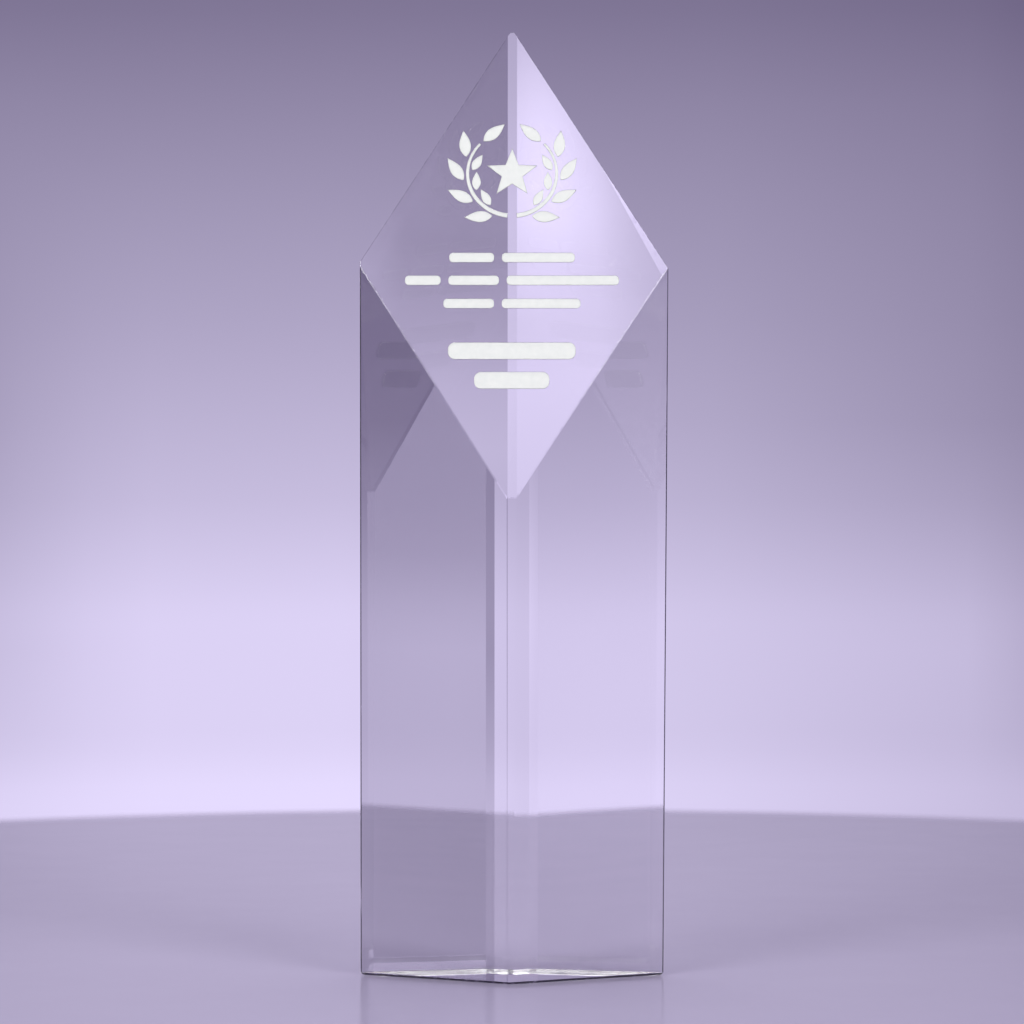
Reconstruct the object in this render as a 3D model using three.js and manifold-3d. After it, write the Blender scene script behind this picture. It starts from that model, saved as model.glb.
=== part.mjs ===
// Optical-crystal tower award: one ground and polished prism on a rhombus, cut off by a single steep
// face that carries an engraving filled with white enamel. Millimetres, +Z up, X across the award, the
// engraved face looks towards -Y. The origin is the centre of the resting face.

import * as THREE from 'three';
import { ConvexGeometry } from 'three/addons/geometries/ConvexGeometry.js';
import { mergeVertices } from 'three/addons/utils/BufferGeometryUtils.js';
import Module from 'manifold-3d';

// ---- driving dimensions of the crystal ----
const HEIGHT = 254; // resting face to the blunted tip
const WIDTH = 81.5; // across the two side edges, at the foot
const DEPTH_PER_WIDTH = 0.483; // slope of the four upright faces in plan: half depth over half width
const SHOULDER_HEIGHT = 191.8; // where the engraved face meets the side edges
const FACE_SLOPE = 3.22; // rise of the engraved face per unit of depth
const RIDGE_FLAT = 2.5; // flat ground along the obtuse front and back edges
const SIDE_FLAT = 0.7; // flat ground along the acute side edges, at the foot
// The right-hand front face leans outwards by this much per unit of height, about the top of the front
// ridge, and the side flat beside it by nearly as much, so that flat narrows towards the shoulder.
const FRONT_LEAN = 0.0065;
const SIDE_LEAN = 0.0062;
const BASE_BEVEL = 1.0; // width of the bevel around the resting face
const RIM_BEVEL = 0.4; // width of the bevel around the engraved face

// ---- driving dimensions of the engraving ----
const POCKET_DEPTH = 0.9; // sand-carved below the engraved face
const FILL_TOP = 0.1; // the enamel lies this far below the face
const FILL_BOTTOM = 0.6;
const CLEARANCE = 0.3; // between the enamel and the walls of its pocket
const CUT_OVERRUN = 1; // how far a pocket's cutter stands out of the face

const EMBLEM_UP = 25; // emblem's centre above the shoulders, along the face
const STAR_RADIUS = 7;
const STAR_WAIST = 0.42; // inner radius over outer radius
const WREATH_RADIUS = 12;
const STEM_START = -84; // degrees round the wreath, right-hand branch
const STEM_END = 44;
const STEM_WIDTH = [1.2, 0.6]; // foot, top
const LEAF_GAP = 1.25; // from the stem's centre line to the foot of a leaf
const LEAF_SPREAD = 27; // degrees between a leaf and the stem
const OUTER_LEAF = { count: 4, first: -66, step: 29, length: 7.4, width: 3.1 };
const INNER_LEAF = { count: 3, first: -57, step: 31, length: 5.1, width: 2.3 };
const TIP_LEAF_TURN = 6; // degrees between the stem's end and the foot of the leaf at its tip

// Each row of the inscription is a set of plain rounded bars, one for each word.
const ROWS = [
  { name: 'message_line_1', up: 1.2, height: 2.6, words: [12, 19.5] },
  { name: 'message_line_2', up: -5.2, height: 2.6, words: [9.5, 13.5, 30] },
  { name: 'message_line_3', up: -11.7, height: 2.6, words: [13.5, 21] },
  { name: 'name_line_1', up: -24.9, height: 4.6, words: [34] },
  { name: 'name_line_2', up: -33.1, height: 4.6, words: [20] },
];
const WORD_GAP = 2.1;
const BAR_ROUNDING = 0.4; // corner radius over bar height

// ---- looks ----
const CRYSTAL = { color: 0xe9e6f2, roughness: 0.02, metalness: 0, transparent: true, opacity: 0.35 };
const ENAMEL = { color: 0xf1f5f4, roughness: 0.55, metalness: 0 };

const wasm = await Module();
wasm.setup();

const radians = THREE.MathUtils.degToRad;
const halfWidth = WIDTH / 2;
const sharpHalfWidth = halfWidth + SIDE_FLAT / 2 / DEPTH_PER_WIDTH;
const halfDepth = (sharpHalfWidth - RIDGE_FLAT / 2) * DEPTH_PER_WIDTH;
const frontRidgeTop = SHOULDER_HEIGHT - FACE_SLOPE * halfDepth;

// ---- the crystal, as the space inside a set of planes ----

// A plane keeps the side that its normal points away from.
function plane(x, y, z, point) {
  const normal = new THREE.Vector3(x, y, z).normalize();
  return { normal, offset: normal.dot(point) };
}

// The plane that grinds a flat of the given width along the edge between two planes.
function bevel(first, second, width) {
  const sum = first.normal.clone().add(second.normal);
  const turn = first.normal.angleTo(second.normal);
  const sharp = (first.offset + second.offset) / sum.length();
  return { normal: sum.normalize(), offset: sharp - (width / 2) * Math.tan(turn / 2) };
}

// The point where three planes meet, or null where they have none.
function corner(a, b, c) {
  const system = new THREE.Matrix3().set(...a.normal, ...b.normal, ...c.normal);
  if (Math.abs(system.determinant()) < 1e-6) return null;
  return new THREE.Vector3(a.offset, b.offset, c.offset).applyMatrix3(system.invert());
}

// Every corner of the solid that the planes enclose.
function cornersInside(planes) {
  const kept = [];
  const inside = (point) => planes.every((p) => p.normal.dot(point) < p.offset + 1e-6);
  for (let i = 0; i < planes.length; i++) {
    for (let j = i + 1; j < planes.length; j++) {
      for (let k = j + 1; k < planes.length; k++) {
        const point = corner(planes[i], planes[j], planes[k]);
        if (point && inside(point) && kept.every((q) => q.distanceTo(point) > 1e-3)) kept.push(point);
      }
    }
  }
  return kept;
}

function crystalBlank() {
  const side = new THREE.Vector3(halfWidth, 0, 0);
  const ridge = new THREE.Vector3(0, halfDepth, 0);
  const sharpSide = new THREE.Vector3(sharpHalfWidth, 0, 0);
  const tip = new THREE.Vector3(0, 0, HEIGHT);
  const shoulder = new THREE.Vector3(0, 0, SHOULDER_HEIGHT);
  const uprights = [];
  for (const across of [-1, 1]) {
    const right = across > 0;
    uprights.push(plane(across, 0, right ? -SIDE_LEAN : 0, side.clone().multiplyScalar(across)));
    uprights.push(plane(0, across, 0, ridge.clone().multiplyScalar(across)));
    for (const deep of [-1, 1]) {
      const lean = right && deep < 0 ? FRONT_LEAN : 0;
      const turn = 1 + (lean * DEPTH_PER_WIDTH * frontRidgeTop) / halfDepth;
      const slope = [across * DEPTH_PER_WIDTH, deep * turn, -lean * DEPTH_PER_WIDTH];
      uprights.push(plane(...slope, sharpSide.clone().multiplyScalar(across)));
    }
  }
  const bottom = plane(0, 0, -1, new THREE.Vector3());
  const top = plane(0, 0, 1, tip);
  const engraved = plane(0, -FACE_SLOPE, 1, shoulder);
  const foot = uprights.map((upright) => bevel(upright, bottom, BASE_BEVEL));
  const rim = uprights
    .filter((upright) => upright.normal.y < 0.99) // the back ridge ends in the blunted tip instead
    .map((upright) => bevel(upright, engraved, RIM_BEVEL));
  return new ConvexGeometry(cornersInside([...uprights, bottom, top, engraved, ...foot, ...rim]));
}

// ---- outlines of the engraving, counter-clockwise, on the engraved face ----

// Moves every side of an outline outwards by the same gap.
function grown(outline, gap) {
  return outline.map((point, i) => {
    const before = point.clone().sub(outline.at(i - 1)).normalize();
    const after = outline[(i + 1) % outline.length].clone().sub(point).normalize();
    const normals = new THREE.Vector2(before.y + after.y, -before.x - after.x);
    return point.clone().addScaledVector(normals, gap / (1 + before.dot(after)));
  });
}

function mirrored(outline) {
  return outline.map((point) => new THREE.Vector2(-point.x, point.y)).reverse();
}

function placed(outline, x, y, turn = 0) {
  const origin = new THREE.Vector2();
  return outline.map((point) => point.clone().rotateAround(origin, turn).add(new THREE.Vector2(x, y)));
}

function onWreath(degrees, radius = WREATH_RADIUS) {
  return new THREE.Vector2(radius, 0).rotateAround(new THREE.Vector2(), radians(degrees));
}

function barOutline(width, height) {
  const r = BAR_ROUNDING * height;
  const bar = new THREE.Shape();
  bar.absarc(width / 2 - r, height / 2 - r, r, 0, Math.PI / 2);
  bar.absarc(r - width / 2, height / 2 - r, r, Math.PI / 2, Math.PI);
  bar.absarc(r - width / 2, r - height / 2, r, Math.PI, 1.5 * Math.PI);
  bar.absarc(width / 2 - r, r - height / 2, r, 1.5 * Math.PI, 2 * Math.PI);
  return bar.getPoints(5).slice(0, -1);
}

function starOutline() {
  const points = [];
  for (let i = 0; i < 10; i++) {
    const radius = i % 2 ? STAR_RADIUS * STAR_WAIST : STAR_RADIUS;
    points.push(onWreath(90 + 36 * i, radius));
  }
  return points;
}

// A laurel leaf along +X from its rounded foot to its pointed tip.
function leafOutline(length, width) {
  const steps = 12;
  const edge = [];
  for (let i = 1; i < steps; i++) {
    const along = (1 - Math.cos((Math.PI * i) / steps)) / 2; // closer together at both ends
    edge.push(new THREE.Vector2(along * length, (width / 2) * Math.sin(Math.PI * along ** 0.8)));
  }
  const lower = edge.map((point) => new THREE.Vector2(point.x, -point.y));
  return [new THREE.Vector2(), ...lower, new THREE.Vector2(length, 0), ...edge.reverse()];
}

// A leaf of the right-hand branch; side is 1 outside the stem, -1 inside it and 0 at its tip.
function leafAt(degrees, side, size) {
  const foot = onWreath(degrees, WREATH_RADIUS + side * LEAF_GAP);
  const turn = radians(degrees + 90 - side * LEAF_SPREAD);
  return placed(leafOutline(size.length, size.width), foot.x, foot.y, turn);
}

function stemOutline() {
  const steps = 24;
  const outer = [];
  const inner = [];
  for (let i = 0; i <= steps; i++) {
    const degrees = THREE.MathUtils.lerp(STEM_START, STEM_END, i / steps);
    const half = THREE.MathUtils.lerp(...STEM_WIDTH, i / steps) / 2;
    outer.push(onWreath(degrees, WREATH_RADIUS + half));
    inner.push(onWreath(degrees, WREATH_RADIUS - half));
  }
  return [...outer, ...inner.reverse()];
}

function branchMarks() {
  const leaves = [];
  for (let i = 0; i < OUTER_LEAF.count; i++) {
    leaves.push(leafAt(OUTER_LEAF.first + i * OUTER_LEAF.step, 1, OUTER_LEAF));
  }
  for (let i = 0; i < INNER_LEAF.count; i++) {
    leaves.push(leafAt(INNER_LEAF.first + i * INNER_LEAF.step, -1, INNER_LEAF));
  }
  leaves.push(leafAt(STEM_END + TIP_LEAF_TURN, 0, OUTER_LEAF));
  const marks = leaves.map((outline, i) => ({ name: `laurel_leaf_right_${i + 1}`, outline }));
  return [{ name: 'laurel_stem_right', outline: stemOutline() }, ...marks];
}

function emblemMarks() {
  const right = branchMarks();
  const left = right.map(({ name, outline }) => {
    return { name: name.replace('right', 'left'), outline: mirrored(outline) };
  });
  return [{ name: 'emblem_star', outline: starOutline() }, ...left, ...right].map((mark) => {
    return { ...mark, outline: placed(mark.outline, 0, EMBLEM_UP) };
  });
}

function rowMarks({ name, up, height, words }) {
  const length = words.reduce((sum, word) => sum + word, WORD_GAP * (words.length - 1));
  let left = -length / 2;
  return words.map((word, i) => {
    const outline = placed(barOutline(word, height), left + word / 2, up);
    left += word + WORD_GAP;
    return { name: words.length > 1 ? `${name}_word_${i + 1}` : name, outline };
  });
}

// ---- solids ----

// The solid over an outline on the engraved face, between two distances out of that face.
function slab(outline, low, high) {
  const options = { depth: high - low, bevelEnabled: false };
  return new THREE.ExtrudeGeometry(new THREE.Shape(outline), options).translate(0, 0, low);
}

function toManifold(geometry) {
  const bare = geometry.clone();
  bare.deleteAttribute('normal');
  bare.deleteAttribute('uv');
  const merged = mergeVertices(bare, 1e-4);
  const vertProperties = new Float32Array(merged.attributes.position.array);
  const triVerts = new Uint32Array(merged.index.array);
  return new wasm.Manifold(new wasm.Mesh({ numProp: 3, vertProperties, triVerts }));
}

function toGeometry(manifold) {
  const { vertProperties, triVerts } = manifold.getMesh();
  const geometry = new THREE.BufferGeometry();
  geometry.setAttribute('position', new THREE.BufferAttribute(vertProperties, 3));
  geometry.setIndex(new THREE.BufferAttribute(triVerts, 1));
  geometry.computeVertexNormals();
  return geometry;
}

// The engraved face's own frame: X across it, Y up its slope, Z out of it, origin midway between the
// shoulders.
const face = new THREE.Group();
face.position.z = SHOULDER_HEIGHT;
face.rotation.x = Math.atan(FACE_SLOPE);
face.updateMatrixWorld();

const marks = [...emblemMarks(), ...ROWS.flatMap(rowMarks)];

function crystalTower() {
  let crystal = toManifold(crystalBlank());
  for (const { outline } of marks) {
    const cutter = slab(grown(outline, CLEARANCE), -POCKET_DEPTH, CUT_OVERRUN);
    crystal = crystal.subtract(toManifold(cutter.applyMatrix4(face.matrixWorld)));
  }
  const mesh = new THREE.Mesh(toGeometry(crystal), new THREE.MeshStandardMaterial(CRYSTAL));
  mesh.name = 'crystal_tower';
  return mesh;
}

function enamelFill({ name, outline }) {
  const material = new THREE.MeshStandardMaterial(ENAMEL);
  const mesh = new THREE.Mesh(slab(outline, -FILL_BOTTOM, -FILL_TOP), material);
  mesh.name = name;
  return mesh;
}

face.add(...marks.map(enamelFill));

const award = new THREE.Group();
award.add(crystalTower(), face);

export default award;
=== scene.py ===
import math

import bmesh
import bpy
from mathutils import Matrix, Vector


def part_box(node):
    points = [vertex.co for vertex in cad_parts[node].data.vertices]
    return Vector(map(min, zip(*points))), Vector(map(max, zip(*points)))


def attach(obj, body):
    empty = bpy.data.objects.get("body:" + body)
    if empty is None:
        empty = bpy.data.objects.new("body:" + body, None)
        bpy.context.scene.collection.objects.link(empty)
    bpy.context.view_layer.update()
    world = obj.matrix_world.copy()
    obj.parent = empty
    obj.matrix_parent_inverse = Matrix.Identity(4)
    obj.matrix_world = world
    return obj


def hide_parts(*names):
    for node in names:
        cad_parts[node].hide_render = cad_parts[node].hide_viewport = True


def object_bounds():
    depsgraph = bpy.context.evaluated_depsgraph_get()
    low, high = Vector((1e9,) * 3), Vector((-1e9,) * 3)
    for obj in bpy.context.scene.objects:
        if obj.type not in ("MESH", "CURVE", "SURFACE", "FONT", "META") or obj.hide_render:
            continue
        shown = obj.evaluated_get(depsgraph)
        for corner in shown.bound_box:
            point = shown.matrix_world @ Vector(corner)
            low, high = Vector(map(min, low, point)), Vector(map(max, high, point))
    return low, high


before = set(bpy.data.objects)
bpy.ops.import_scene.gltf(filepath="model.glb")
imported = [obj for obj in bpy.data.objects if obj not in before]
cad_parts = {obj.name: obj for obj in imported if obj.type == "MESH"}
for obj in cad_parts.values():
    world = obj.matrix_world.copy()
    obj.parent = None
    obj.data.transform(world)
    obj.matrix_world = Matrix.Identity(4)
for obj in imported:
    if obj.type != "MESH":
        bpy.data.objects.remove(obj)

# A tower of clear optical crystal: a rhombus prism cut off by one steep face, with an engraving filled
# with white enamel. Metres, +Z up, the engraved face looks towards -Y.

MM = 0.001
CAD_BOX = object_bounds()

# ---- the crystal and its engraving ----
ARRIS = 0.05 * MM  # how far the fine blunting of a sharp edge reaches onto either face
SHARP_ANGLE = math.radians(30)  # turn between the faces of a sharp edge; the ridge flats' edges turn less
SIDE_ARRIS_ON_FACE = 0.34 * MM  # the wheel took more off along the side edges
SIDE_ARRIS_ON_FLAT = 0.14 * MM
# The wheel bit a long wedge out of the right-hand upper rim, from the shoulder up.
WEDGE_LENGTH = 0.42  # share of the rim
WEDGE_WIDTH = 2.4 * MM  # across the engraved face at the shoulder
WEDGE_DEPTH = 0.1 * MM  # into the glass there
EDGE_FACE_AREA = 60 * MM**2  # smaller faces than this belong to an edge
UPRIGHT_RISE = 100 * MM  # an edge that rises more than this is one of the tower's upright edges
RIM_LENGTH = 10 * MM  # the engraved face's four sides are longer than this, its clipped corners shorter
MARK_MARGIN = 3 * MM  # every corner of a pocket lies within this much of the marks
CONTACT = 0.02 * MM  # the enamel reaches this far into the glass, so that no air is left between them
MENISCUS = 0.15 * MM  # width of the enamel's lip along the wall of its pocket
MENISCUS_DIP = 0.05 * MM  # the middle of the enamel lies this far below its lip
CUT_OVERRUN = 1 * MM  # the pockets' cutter stands out of the engraved face by this much
SAME_POINT = 1e-3 * MM  # vertices closer than this are one
ON_PLANE = 1e-4 * MM  # vertices closer than this to a cutting plane lie on it
SAME_PLANE = math.radians(1)  # faces that turn less than this towards each other are one face
GLASS_IOR = 1.517

# ---- camera ----
CAMERA_AIM = Vector((0, 0, 0.1247))
CAMERA_DISTANCE = 1.301
CAMERA_AZIMUTH = 0.355  # degrees to the right of the front
CAMERA_ELEVATION = 2.22
CAMERA_LENS = 170.5  # millimetres, like the sensor's width
CAMERA_SENSOR = 36
CAMERA_NEAR = 0.05
CAMERA_FAR = 20

# ---- floor: a round table top ----
FLOOR_RADIUS = 0.46
FLOOR_FADE = 0.03  # its rim fades out over this width
FLOOR_SEGMENTS = 128
AIR_GAP = 0.1 * MM  # between the resting face and the floor, so that the resting face mirrors

# ---- studio ----
# Azimuths are seen from the award: 0 is straight behind it, 90 to the right and 180 at the camera.
WHITE = (1, 1, 1)
WATTS_PER_RADIANCE = 4  # what an area light needs for each square metre
# Name, azimuth, elevation, distance, width, height, radiance and colour of each soft light.
SOFTBOXES = [
    ("softbox_front_right", 140, 32, 1.4, 0.65, 0.65, 5.5, WHITE),
    ("softbox_front_left", -140, 32, 1.4, 0.65, 0.65, 5.5, WHITE),
    ("softbox_top", 0, 80, 1.4, 0.9, 0.9, 3.0, WHITE),
]
# A glowing screen at the right, brighter above the middle of the award than below it.
SCREEN_AZIMUTH = 97
SCREEN_DISTANCE = 1.4
SCREEN_WIDTH = 0.8
SCREEN_BOTTOM = -0.45
SCREEN_TOP = 0.6
# Height in metres and light of the screen there.
SCREEN_LIGHT = [(SCREEN_BOTTOM, 0.75), (0.05, 0.75), (0.12, 1.9), (SCREEN_TOP, 1.9)]
# A round wall behind and about the award carries the backdrop's light.
WALL_RADIUS = 1.45
WALL_BOTTOM = -1.0
WALL_TOP = 1.6
WALL_SEGMENTS = 256
# Its colour is the light times this gain, plus this lift: it is more purple where it is darker.
WALL_GAIN = (1.0, 0.923, 1.218)
WALL_LIFT = (0, -0.0158, 0.0411)
# Height in metres and light of the wall there.
WALL_HEIGHTS = [
    (WALL_BOTTOM, 0.5),
    (-0.25, 0.68),
    (-0.09, 0.80),
    (-0.06, 0.72),
    (0.01, 0.72),
    (0.075, 0.57),
    (0.175, 0.43),
    (0.245, 0.352),
    (0.356, 0.216),
    (0.6, 0.13),
    (WALL_TOP, 0.10),
]
# How that light is spread about the award: rows of azimuth in degrees and share, each at its height.
WALL_BEHIND_LEFT = [(-180, 0.55), (-110, 0.55), (-60, 0.85)]
WALL_BEHIND_RIGHT = [(60, 0.45), (180, 0.55)]
WALL_SHARES = [
    (-0.13, [(-33, 1.0), (-16, 0.95), (-12, 0.95), (-9, 0.99), (-4, 1.0), (-1.6, 0.965), (-0.4, 0.84),
             (0.8, 0.93), (4.2, 0.88), (10.5, 0.71), (14, 0.74), (32, 0.62)]),
    (-0.01, [(-33, 0.97), (-16, 0.95), (-13.7, 1.0), (-12.9, 0.75), (-12, 0.8), (-9, 0.99), (-4, 1.0),
             (-1.6, 0.965), (-0.4, 0.88), (0.8, 0.93), (4.2, 0.88), (10.5, 0.76), (12.6, 0.47),
             (14.5, 0.45), (32, 0.65)]),
    (0.12, [(-33, 0.87), (-16, 0.93), (-13.7, 0.9), (-12.9, 0.7), (-12, 0.8), (-9, 0.99), (-4, 1.0),
            (-1.6, 0.96), (-0.4, 0.86), (0.8, 0.92), (4.2, 0.86), (10.5, 0.64), (14, 0.46), (32, 0.36)]),
    (0.3, [(-33, 0.8), (-20, 0.95), (-4, 1.0), (4.2, 0.96), (10.5, 0.82), (14, 0.5), (32, 0.38)]),
]
# A pool of lamp light on the wall: azimuth in degrees, then metres.
GLOW_AZIMUTH = -15.2
GLOW_HEIGHT = 0.045
GLOW_HALF_WIDTH = 0.033
GLOW_HALF_HEIGHT = 0.075
GLOW_LIGHT = 0.3
CEILING_COLOUR = (0.12, 0.11, 0.15)


# ---- meshes ----


def cad_mesh(node):
    """A bmesh copy of a CAD node with its split vertices joined."""
    bm = bmesh.new()
    bm.from_mesh(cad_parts[node].data)
    bmesh.ops.remove_doubles(bm, verts=bm.verts, dist=SAME_POINT)
    bm.normal_update()
    return bm


def new_object(name, bm, materials):
    """Turns a bmesh into an object in the scene and frees it."""
    mesh = bpy.data.meshes.new(name)
    bm.normal_update()
    bm.to_mesh(mesh)
    bm.free()
    for material in materials:
        mesh.materials.append(material)
    obj = bpy.data.objects.new(name, mesh)
    bpy.context.scene.collection.objects.link(obj)
    return obj


# The crystal's finishes, in the order of its material slots; the ground side, ground foot and chipped rim
# finishes are tinted near-black as painted shade.
POLISHED_FACE, POLISHED_ARRIS, GROUND_SIDE, GROUND_FOOT, CHIPPED_RIM = range(5)

CRYSTAL_NODE = "crystal_tower"
MARK_NODES = sorted(set(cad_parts) - {CRYSTAL_NODE})


def slanted_face(bm):
    """The largest face that looks forwards and upwards: the engraved face, or the front of a mark."""
    slanted = [f for f in bm.faces if f.normal.z > 0.1 and f.normal.y < -0.5]
    return max(slanted, key=lambda f: f.calc_area())


def engraved_face():
    """The engraved face's frame as a matrix: X across it, Y up its slope, Z out of it."""
    bm = cad_mesh("emblem_star")
    outward = slanted_face(bm).normal.copy()
    bm.free()
    across = Vector((1, 0, 0))
    up = outward.cross(across)
    reach = max(v.co.dot(outward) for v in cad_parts[CRYSTAL_NODE].data.vertices)
    rotation = Matrix((across, up, outward)).transposed().to_4x4()
    return Matrix.Translation(outward * reach) @ rotation


FACE = engraved_face()
FACE_INVERSE = FACE.inverted()


def mark_outline(node):
    """A CAD mark in the face's frame: its outline, counter-clockwise, and its top and bottom levels."""
    bm = cad_mesh(node)
    bm.transform(FACE_INVERSE)
    bm.normal_update()
    levels = [v.co.z for v in bm.verts]
    walls_and_back = [f for f in bm.faces if f.normal.z < 0.9]
    bmesh.ops.delete(bm, geom=walls_and_back, context="FACES")
    cap = bmesh.ops.dissolve_faces(bm, faces=bm.faces)["region"][0]
    outline = [loop.vert.co.xy.copy() for loop in cap.loops]
    bm.free()
    return outline, max(levels), min(levels)


def grown(outline, gap):
    """Moves every side of an outline outwards by the same gap."""
    moved = []
    for i, point in enumerate(outline):
        before = (point - outline[i - 1]).normalized()
        after = (outline[(i + 1) % len(outline)] - point).normalized()
        normals = Vector((before.y + after.y, -before.x - after.x))
        moved.append(point + normals * gap / (1 + before.dot(after)))
    return moved


def loft(bm, rings):
    """A closed solid through rings of (outline, level), lowest first, in the face's frame."""
    loops = [[bm.verts.new((p.x, p.y, level)) for p in outline] for outline, level in rings]
    count = len(loops[0])
    for lower, upper in zip(loops, loops[1:]):
        for i in range(count):
            j = (i + 1) % count
            bm.faces.new((lower[i], lower[j], upper[j], upper[i]))
    bm.faces.new(loops[0][::-1])
    bm.faces.new(loops[-1])


def crystal_blank():
    """The cut crystal before its engraving and blunting: the hull of the CAD corners outside the marks."""
    boxes = [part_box(node) for node in MARK_NODES]
    lowest = min(low.z for low, high in boxes) - MARK_MARGIN
    highest = max(high.z for low, high in boxes) + MARK_MARGIN
    reach = max(high.x for low, high in boxes) + MARK_MARGIN
    bm = cad_mesh(CRYSTAL_NODE)
    pocket = [v for v in bm.verts if lowest < v.co.z < highest and abs(v.co.x) < reach]
    bmesh.ops.delete(bm, geom=pocket, context="VERTS")
    bmesh.ops.delete(bm, geom=list(bm.edges) + list(bm.faces), context="EDGES_FACES")
    hull = bmesh.new()
    for v in bm.verts:
        hull.verts.new(v.co)
    bm.free()
    made = bmesh.ops.convex_hull(hull, input=hull.verts)
    spare = set(made["geom_interior"]) | set(made["geom_unused"])
    bmesh.ops.delete(hull, geom=[g for g in spare if isinstance(g, bmesh.types.BMVert)], context="VERTS")
    bmesh.ops.dissolve_limit(
        hull, angle_limit=SAME_PLANE, verts=hull.verts, edges=hull.edges, use_dissolve_boundaries=False
    )
    return hull


def is_upright(edge):
    """Whether an edge runs up the tower."""
    return abs(edge.verts[0].co.z - edge.verts[1].co.z) > UPRIGHT_RISE


def looks_sideways(face):
    """Whether a face is one of the two narrow side flats."""
    return abs(face.normal.x) > 0.9


def edge_finish(face):
    """The finish of a face of the crystal by its size and tilt."""
    face.normal_update()
    if face.calc_area() > EDGE_FACE_AREA or abs(face.normal.x) > 0.99:
        return POLISHED_FACE
    if face.normal.z < -0.5:
        return GROUND_FOOT
    if face.normal.z > 0.3:
        return CHIPPED_RIM
    return POLISHED_ARRIS


def inwards(face, edge):
    """Unit vector on a face, square to one of its edges and away from it."""
    start, end = (v.co for v in edge.verts)
    square = face.normal.cross(end - start).normalized()
    return square if square.dot(face.calc_center_median() - start) > 0 else -square


def blunting_plane(edge, reach):
    """(point, normal) of the plane that takes an edge off; reach maps a face to how far it goes onto it."""
    start, end = (v.co.copy() for v in edge.verts)
    first, second = edge.link_faces
    on_first = start + inwards(first, edge) * reach(first)
    on_second = start + inwards(second, edge) * reach(second)
    normal = (end - start).cross(on_second - on_first).normalized()
    outward = first.normal + second.normal
    return on_first, normal if normal.dot(outward) > 0 else -normal


def take_off(bm, planes, finish):
    """Cuts away what lies beyond each plane and closes each cut with a face of the given finish."""
    for point, normal in planes:
        everything = list(bm.verts) + list(bm.edges) + list(bm.faces)
        bmesh.ops.bisect_plane(
            bm, geom=everything, dist=ON_PLANE, plane_co=point, plane_no=normal, clear_outer=True
        )
        rim = [e for e in bm.edges if e.is_boundary]
        for face in bmesh.ops.holes_fill(bm, edges=rim, sides=0)["faces"]:
            face.material_index = finish(face)
    bm.normal_update()


def rim_wedge(bm):
    """(point, normal) of the plane that takes the wedge off the right-hand upper rim."""
    engraved = slanted_face(bm)
    right = [e for e in engraved.edges if e.calc_length() > RIM_LENGTH and all(v.co.x > 0 for v in e.verts)]
    rim = max(right, key=lambda e: sum(v.co.z for v in e.verts))
    shoulder, tip = sorted((v.co.copy() for v in rim.verts), key=lambda co: co.z)
    end = shoulder.lerp(tip, WEDGE_LENGTH)
    on_face = shoulder + inwards(engraved, rim) * WEDGE_WIDTH
    below = shoulder - engraved.normal * WEDGE_DEPTH
    normal = (on_face - end).cross(below - end).normalized()
    return end, normal if normal.dot(engraved.normal) > 0 else -normal


def blunted(bm):
    """Takes off the wedge, the corners of the two side flats, then a fine arris along every sharp edge."""
    for face in bm.faces:
        face.material_index = edge_finish(face)
    take_off(bm, [rim_wedge(bm)], lambda face: POLISHED_ARRIS)

    def side_reach(face):
        return SIDE_ARRIS_ON_FLAT if looks_sideways(face) else SIDE_ARRIS_ON_FACE

    tall = [e for e in bm.edges if is_upright(e) and any(looks_sideways(f) for f in e.link_faces)]
    take_off(bm, [blunting_plane(e, side_reach) for e in tall], lambda face: GROUND_SIDE)
    sharp = [e for e in bm.edges if e.calc_face_angle(0) > SHARP_ANGLE]
    take_off(bm, [blunting_plane(e, lambda face: ARRIS) for e in sharp], edge_finish)
    return bm


def pocket_cutter():
    """One block for each mark, from the pocket's bottom out through the engraved face."""
    bm = bmesh.new()
    for node in MARK_NODES:
        outline, _, bottom = mark_outline(node)
        loft(bm, [(outline, bottom), (outline, CUT_OVERRUN)])
    bm.transform(FACE)
    return bm


def enamel_fill(node, material):
    """The enamel in a mark's pocket: it clings to the wall in a lip and dips in the middle."""
    outline, top, bottom = mark_outline(node)
    lip = grown(outline, CONTACT)
    bm = bmesh.new()
    loft(bm, [
        (lip, bottom - CONTACT),
        (lip, top),
        (grown(outline, -MENISCUS), top - MENISCUS_DIP),
    ])
    bm.transform(FACE)
    return new_object(node + "_enamel", bm, [material])


def engraved_crystal(materials):
    """The crystal with its pockets cut."""
    blank = new_object("crystal_block", blunted(crystal_blank()), materials)
    cutter = new_object("pocket_cutter", pocket_cutter(), [])
    cut = blank.modifiers.new("engraving", "BOOLEAN")
    cut.operation = "DIFFERENCE"
    cut.solver = "EXACT"
    cut.object = cutter
    depsgraph = bpy.context.evaluated_depsgraph_get()
    mesh = bpy.data.meshes.new_from_object(blank.evaluated_get(depsgraph))
    blank.modifiers.clear()
    blank.data = mesh
    bpy.data.objects.remove(cutter)
    return blank


# ---- materials ----

NOISE_LOW = 0.3  # nearly all of the noise texture's values lie between these
NOISE_HIGH = 0.7
CHIP_FADE = 0.12  # share of a chip pattern's range over which the painted shade on the ground edges turns to clear glass


def principled(name):
    """A material with a Principled shader: (material, nodes, links, shader)."""
    material = bpy.data.materials.new(name)
    material.use_nodes = True
    nodes = material.node_tree.nodes
    return material, nodes, material.node_tree.links, nodes["Principled BSDF"]


def fill_ramp(ramp, stops, low, high):
    """Sets a colour ramp's stops, each a value from low to high and its colour or grey."""
    elements = ramp.color_ramp.elements
    while len(elements) > 1:
        elements.remove(elements[-1])
    for i, (at, value) in enumerate(stops):
        position = (at - low) / (high - low)
        element = elements[0] if i == 0 else elements.new(position)
        element.position = position
        colour = value if isinstance(value, tuple) else (value, value, value)
        element.color = (*colour, 1)


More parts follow.
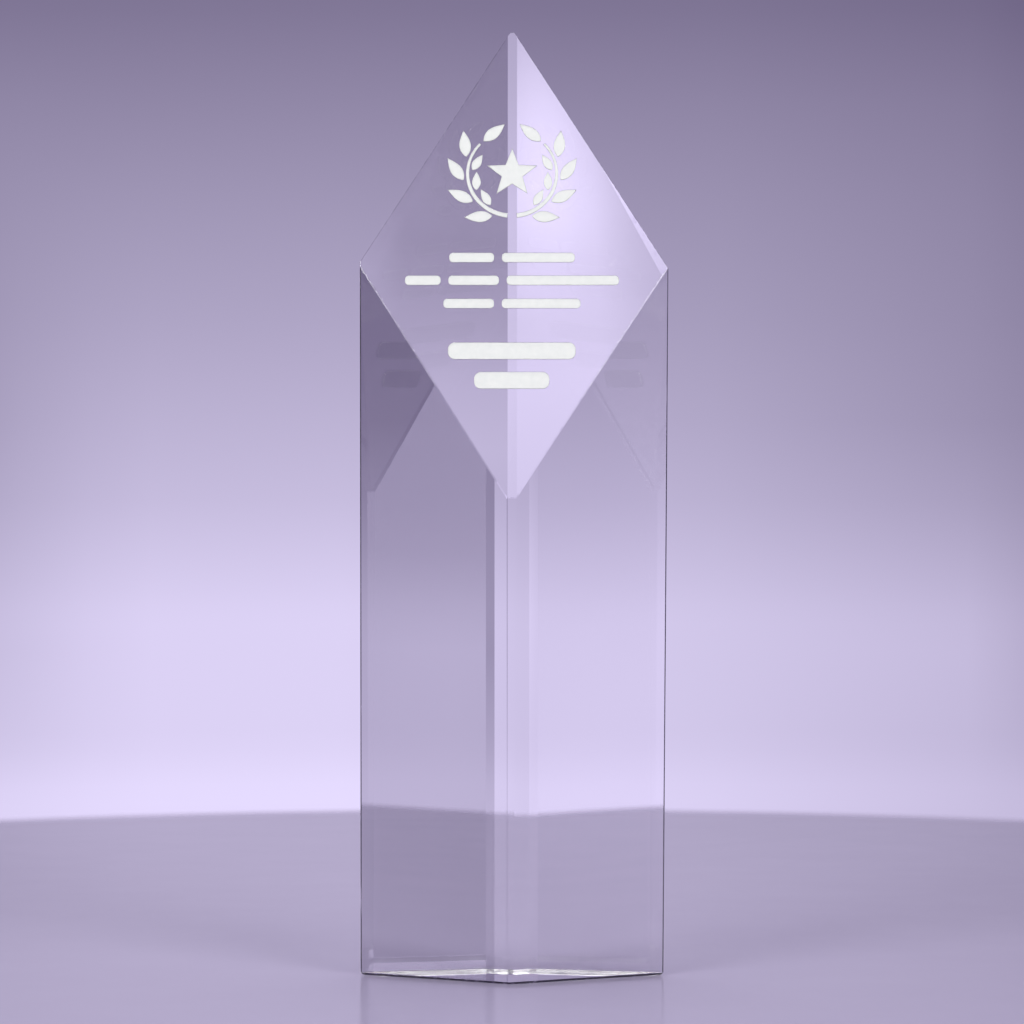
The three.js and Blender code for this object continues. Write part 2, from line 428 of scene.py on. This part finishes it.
def ramp_of(nodes, links, value, stops):
    """A colour ramp over a value, from (value, grey) stops."""
    low, high = stops[0][0], stops[-1][0]
    share = nodes.new("ShaderNodeMapRange")
    share.inputs["From Min"].default_value = low
    share.inputs["From Max"].default_value = high
    ramp = nodes.new("ShaderNodeValToRGB")
    fill_ramp(ramp, stops, low, high)
    links.new(value, share.inputs["Value"])
    links.new(share.outputs["Result"], ramp.inputs["Fac"])
    return ramp.outputs["Color"]


def maths(nodes, links, operation, *inputs):
    """The result of one maths node; each input is a number or another node's output."""
    node = nodes.new("ShaderNodeMath")
    node.operation = operation
    for socket, value in zip(node.inputs, inputs):
        if isinstance(value, bpy.types.NodeSocket):
            links.new(value, socket)
        else:
            socket.default_value = value
    return node.outputs[0]


def grain(nodes, links, size, low, high, detail=3.0, stretch=(1, 1, 1)):
    """Noise with grains of a size in metres, spread over low to high."""
    place = nodes.new("ShaderNodeTexCoord")
    scale = nodes.new("ShaderNodeMapping")
    scale.inputs["Scale"].default_value = [s / size for s in stretch]
    noise = nodes.new("ShaderNodeTexNoise")
    noise.inputs["Scale"].default_value = 1
    noise.inputs["Detail"].default_value = detail
    spread = nodes.new("ShaderNodeMapRange")
    spread.inputs["From Min"].default_value = NOISE_LOW
    spread.inputs["From Max"].default_value = NOISE_HIGH
    spread.inputs["To Min"].default_value = low
    spread.inputs["To Max"].default_value = high
    links.new(place.outputs["Object"], scale.inputs["Vector"])
    links.new(scale.outputs["Vector"], noise.inputs["Vector"])
    links.new(noise.outputs["Fac"], spread.inputs["Value"])
    return spread.outputs["Result"]


def raised(nodes, links, shader, height, depth):
    """Bumps the surface by a height map from 0 to 1 over a depth in metres."""
    bump = nodes.new("ShaderNodeBump")
    bump.inputs["Distance"].default_value = depth
    links.new(height, bump.inputs["Height"])
    links.new(bump.outputs["Normal"], shader.inputs["Normal"])


def coloured(nodes, links, shader, value, stops):
    """Colours the surface by a value from 0 to 1."""
    ramp = nodes.new("ShaderNodeValToRGB")
    fill_ramp(ramp, stops, 0, 1)
    links.new(value, ramp.inputs["Fac"])
    links.new(ramp.outputs["Color"], shader.inputs["Base Color"])


def clear_glass(name):
    """The start of every finish of the crystal."""
    material, nodes, links, shader = principled(name)
    shader.inputs["Transmission Weight"].default_value = 1
    shader.inputs["IOR"].default_value = GLASS_IOR
    return material, nodes, links, shader


def crystal_material():
    """Polished optical glass: faint cloths' haze, hairline wipe marks and the lap's long, shallow waves."""
    material, nodes, links, shader = clear_glass("optical_crystal")
    haze = grain(nodes, links, 22 * MM, 0.0, 0.006, detail=6)
    wipes = grain(nodes, links, 14 * MM, -0.09, 0.012, detail=8, stretch=(1, 1, 22))
    links.new(maths(nodes, links, "MAXIMUM", haze, wipes), shader.inputs["Roughness"])
    tone = grain(nodes, links, 30 * MM, 0, 1)
    coloured(nodes, links, shader, tone, [(0, (0.975, 0.97, 0.985)), (1, (0.99, 0.985, 0.995))])
    raised(nodes, links, shader, grain(nodes, links, 18 * MM, 0, 1, detail=1), 0.0012 * MM)
    return material


def polished_arris_material():
    """A blunted edge that was polished with the faces, with small nicks left in it."""
    material, nodes, links, shader = clear_glass("polished_arris")
    links.new(grain(nodes, links, 1.2 * MM, 0.0, 0.12), shader.inputs["Roughness"])
    tone = grain(nodes, links, 2 * MM, 0, 1)
    coloured(nodes, links, shader, tone, [(0, (0.8, 0.78, 0.84)), (0.4, (0.98, 0.97, 1.0)), (1, (1, 1, 1))])
    raised(nodes, links, shader, grain(nodes, links, 0.5 * MM, 0, 1), 0.004 * MM)
    return material


def ground_edge_painted_shade_material(name, length, bright_from):
    """An edge left from the grinding wheel, rough and bumped: painted shade tints it near-black, and it
    stays clear in chips of a length along it.
    """
    material, nodes, links, shader = clear_glass(name)
    chips = grain(nodes, links, 0.9 * MM, 0, 1, detail=4, stretch=(1, 1, 0.9 * MM / length))
    # Painted shade: the near-black glass colour stands in for the dark line that the edge shows under the
    # studio light.
    painted_shade = [(0, (0.004, 0.003, 0.006)), (bright_from, (0.02, 0.018, 0.026))]
    coloured(nodes, links, shader, chips, painted_shade + [(bright_from + CHIP_FADE, (1, 0.98, 1))])
    links.new(grain(nodes, links, 0.6 * MM, 0.02, 0.22), shader.inputs["Roughness"])
    raised(nodes, links, shader, grain(nodes, links, 0.5 * MM, 0, 1, detail=5), 0.012 * MM)
    return material


def crystal_finishes():
    """The crystal's materials in the order of POLISHED_FACE to CHIPPED_RIM."""
    return [
        crystal_material(),
        polished_arris_material(),
        ground_edge_painted_shade_material("ground_side_edge_painted_shade", 14 * MM, 0.85),
        ground_edge_painted_shade_material("ground_foot_bevel_painted_shade", 0.7 * MM, 0.75),
        ground_edge_painted_shade_material("chipped_rim_painted_shade", 1.2 * MM, 0.5),
    ]


def enamel_material():
    """Matt white enamel: a sandy surface, a slightly uneven white and a few glossier patches."""
    material, nodes, links, shader = principled("white_enamel")
    tone = grain(nodes, links, 1.6 * MM, 0, 1, detail=6)
    coloured(nodes, links, shader, tone, [(0, (0.83, 0.87, 0.79)), (1, (0.88, 0.915, 0.83))])
    links.new(grain(nodes, links, 2.5 * MM, 0.45, 0.75), shader.inputs["Roughness"])
    raised(nodes, links, shader, grain(nodes, links, 0.12 * MM, 0, 1, detail=4), 0.012 * MM)
    return material


def floor_material():
    """A pale satin table top with a faint mottle, clear beyond its rim."""
    material, nodes, links, shader = principled("pale_floor")
    tone = grain(nodes, links, 60 * MM, 0, 1, detail=5)
    coloured(nodes, links, shader, tone, [(0, (0.515, 0.467, 0.625)), (1, (0.53, 0.482, 0.642))])
    links.new(grain(nodes, links, 25 * MM, 0.16, 0.175), shader.inputs["Roughness"])
    where = nodes.new("ShaderNodeTexCoord")
    distance = nodes.new("ShaderNodeVectorMath")
    distance.operation = "LENGTH"
    fade = nodes.new("ShaderNodeMapRange")
    fade.interpolation_type = "SMOOTHSTEP"
    fade.inputs["From Min"].default_value = FLOOR_RADIUS
    fade.inputs["From Max"].default_value = FLOOR_RADIUS - FLOOR_FADE
    links.new(where.outputs["Object"], distance.inputs[0])
    links.new(distance.outputs["Value"], fade.inputs["Value"])
    links.new(fade.outputs["Result"], shader.inputs["Alpha"])
    return material


# ---- studio ----


def towards(azimuth, elevation):
    """Unit vector from the award; azimuth 0 is behind it and 90 to the right."""
    a, e = math.radians(azimuth), math.radians(elevation)
    return Vector((math.sin(a) * math.cos(e), math.cos(a) * math.cos(e), math.sin(e)))


def make_softboxes():
    """Soft area lights that all face the middle of the award."""
    centre = (CAD_BOX[0] + CAD_BOX[1]) / 2
    for name, azimuth, elevation, distance, width, height, radiance, colour in SOFTBOXES:
        light = bpy.data.lights.new(name, "AREA")
        light.shape = "RECTANGLE"
        light.size = width
        light.size_y = height
        light.energy = WATTS_PER_RADIANCE * width * height * radiance
        light.color = colour
        lamp = bpy.data.objects.new(name, light)
        direction = towards(azimuth, elevation)
        lamp.location = centre + direction * distance
        lamp.rotation_mode = "QUATERNION"
        lamp.rotation_quaternion = direction.to_track_quat("Z", "Y")
        lamp.visible_camera = False
        bpy.context.scene.collection.objects.link(lamp)


def wall_share(nodes, links, azimuth, height):
    """How much of the light reaches each azimuth, blended from each row of shares to the next one above."""
    levels = [level for level, stops in WALL_SHARES]
    rows = [
        ramp_of(nodes, links, azimuth, WALL_BEHIND_LEFT + stops + WALL_BEHIND_RIGHT)
        for level, stops in WALL_SHARES
    ]
    share = rows[0]
    for level_below, level, row in zip(levels, levels[1:], rows[1:]):
        above = nodes.new("ShaderNodeMapRange")
        above.inputs["From Min"].default_value = level_below
        above.inputs["From Max"].default_value = level
        links.new(height, above.inputs["Value"])
        blend = nodes.new("ShaderNodeMix")
        links.new(above.outputs["Result"], blend.inputs["Factor"])
        links.new(share, blend.inputs["A"])
        links.new(row, blend.inputs["B"])
        share = blend.outputs["Result"]
    return share


def wall_glow(nodes, links, azimuth, height):
    """An oval pool of light that falls off smoothly from its middle."""
    width_in_degrees = math.degrees(GLOW_HALF_WIDTH / WALL_RADIUS)
    aside = maths(nodes, links, "SUBTRACT", azimuth, GLOW_AZIMUTH)
    above = maths(nodes, links, "SUBTRACT", height, GLOW_HEIGHT)
    across = maths(nodes, links, "DIVIDE", aside, width_in_degrees)
    along = maths(nodes, links, "DIVIDE", above, GLOW_HALF_HEIGHT)
    across_squared = maths(nodes, links, "MULTIPLY", across, across)
    reach = maths(nodes, links, "MULTIPLY_ADD", along, along, across_squared)
    fall = maths(nodes, links, "EXPONENT", maths(nodes, links, "MULTIPLY", reach, -1.0))
    return maths(nodes, links, "MULTIPLY", fall, GLOW_LIGHT)


def light_material(name):
    """A material that only gives light: (material, nodes, links, shader, the object's coordinates)."""
    material = bpy.data.materials.new(name)
    material.use_nodes = True
    nodes, links = material.node_tree.nodes, material.node_tree.links
    nodes.remove(nodes["Principled BSDF"])
    shader = nodes.new("ShaderNodeEmission")
    links.new(shader.outputs[0], nodes["Material Output"].inputs["Surface"])
    place = nodes.new("ShaderNodeTexCoord")
    axes = nodes.new("ShaderNodeSeparateXYZ")
    links.new(place.outputs["Object"], axes.inputs[0])
    return material, nodes, links, shader, axes


def tinted(nodes, links, strength):
    """The backdrop's colour at a strength of light."""
    colour = nodes.new("ShaderNodeVectorMath")
    colour.operation = "MULTIPLY_ADD"
    links.new(strength, colour.inputs[0])
    colour.inputs[1].default_value = WALL_GAIN
    colour.inputs[2].default_value = WALL_LIFT
    return colour.outputs["Vector"]


def wall_material():
    """The backdrop's light, by height and by azimuth."""
    material, nodes, links, shader, axes = light_material("studio_wall")
    height = axes.outputs["Z"]
    turn = maths(nodes, links, "ARCTAN2", axes.outputs["X"], axes.outputs["Y"])
    azimuth = maths(nodes, links, "DEGREES", turn)
    by_height = ramp_of(nodes, links, height, WALL_HEIGHTS)
    share = wall_share(nodes, links, azimuth, height)
    glow = wall_glow(nodes, links, azimuth, height)
    strength = maths(nodes, links, "MULTIPLY_ADD", by_height, share, glow)
    links.new(tinted(nodes, links, strength), shader.inputs["Color"])
    return material


def screen_material():
    """The screen's light by height; a ramp holds at most 1, so it holds shares of the brightest."""
    material, nodes, links, shader, axes = light_material("glowing_screen")
    brightest = max(light for height, light in SCREEN_LIGHT)
    shares = [(height, light / brightest) for height, light in SCREEN_LIGHT]
    share = ramp_of(nodes, links, axes.outputs["Z"], shares)
    strength = maths(nodes, links, "MULTIPLY", share, brightest)
    links.new(tinted(nodes, links, strength), shader.inputs["Color"])
    return material


def make_screen():
    """The screen is only seen through the glass: the floor neither mirrors it nor is lit by it."""
    bm = bmesh.new()
    middle = towards(SCREEN_AZIMUTH, 0) * SCREEN_DISTANCE
    along = Vector((-middle.y, middle.x, 0)).normalized() * SCREEN_WIDTH / 2
    corners = [(-along, SCREEN_BOTTOM), (along, SCREEN_BOTTOM), (along, SCREEN_TOP), (-along, SCREEN_TOP)]
    bm.faces.new([bm.verts.new(middle + side + Vector((0, 0, height))) for side, height in corners])
    screen = new_object("glowing_screen", bm, [screen_material()])
    screen.visible_camera = False
    screen.visible_diffuse = False
    screen.visible_glossy = False


def make_wall():
    """An open round wall with its axis through the award."""
    bm = bmesh.new()
    bmesh.ops.create_cone(
        bm, segments=WALL_SEGMENTS, radius1=WALL_RADIUS, radius2=WALL_RADIUS, depth=WALL_TOP - WALL_BOTTOM
    )
    bmesh.ops.translate(bm, verts=bm.verts, vec=(0, 0, (WALL_TOP + WALL_BOTTOM) / 2))
    wall = new_object("studio_wall", bm, [wall_material()])


def make_ceiling_light():
    """What is seen above and below the wall."""
    world = bpy.data.worlds.new("studio")
    world.use_nodes = True
    world.node_tree.nodes["Background"].inputs["Color"].default_value = (*CEILING_COLOUR, 1)
    bpy.context.scene.world = world


def make_floor(material):
    """The table top, just below the resting face."""
    bm = bmesh.new()
    bmesh.ops.create_circle(bm, cap_ends=True, segments=FLOOR_SEGMENTS, radius=FLOOR_RADIUS)
    floor = new_object("floor", bm, [material])
    floor.location.z = -AIR_GAP


def make_camera():
    """A long lens almost straight in front of the award, a little above its middle."""
    camera = bpy.data.cameras.new("camera")
    camera.lens = CAMERA_LENS
    camera.sensor_width = CAMERA_SENSOR
    camera.clip_start = CAMERA_NEAR
    camera.clip_end = CAMERA_FAR
    obj = bpy.data.objects.new("camera", camera)
    back = towards(180 - CAMERA_AZIMUTH, CAMERA_ELEVATION)
    obj.location = CAMERA_AIM + back * CAMERA_DISTANCE
    obj.rotation_mode = "QUATERNION"
    obj.rotation_quaternion = back.to_track_quat("Z", "Y")
    bpy.context.scene.collection.objects.link(obj)
    bpy.context.scene.camera = obj


def set_looks():
    """The plain view, and enough bounces for light that is mirrored many times inside the glass."""
    scene = bpy.context.scene
    scene.view_settings.view_transform = "Standard"
    scene.cycles.max_bounces = 32
    scene.cycles.transmission_bounces = 32
    scene.cycles.glossy_bounces = 24
    scene.cycles.diffuse_bounces = 4


make_camera()
make_wall()
make_screen()
make_ceiling_light()
make_softboxes()
make_floor(floor_material())
set_looks()

crystal = engraved_crystal(crystal_finishes())
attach(crystal, "root")
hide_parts(CRYSTAL_NODE)

enamel = enamel_material()
for node in MARK_NODES:
    fill = enamel_fill(node, enamel)
    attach(fill, "root")
    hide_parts(node)
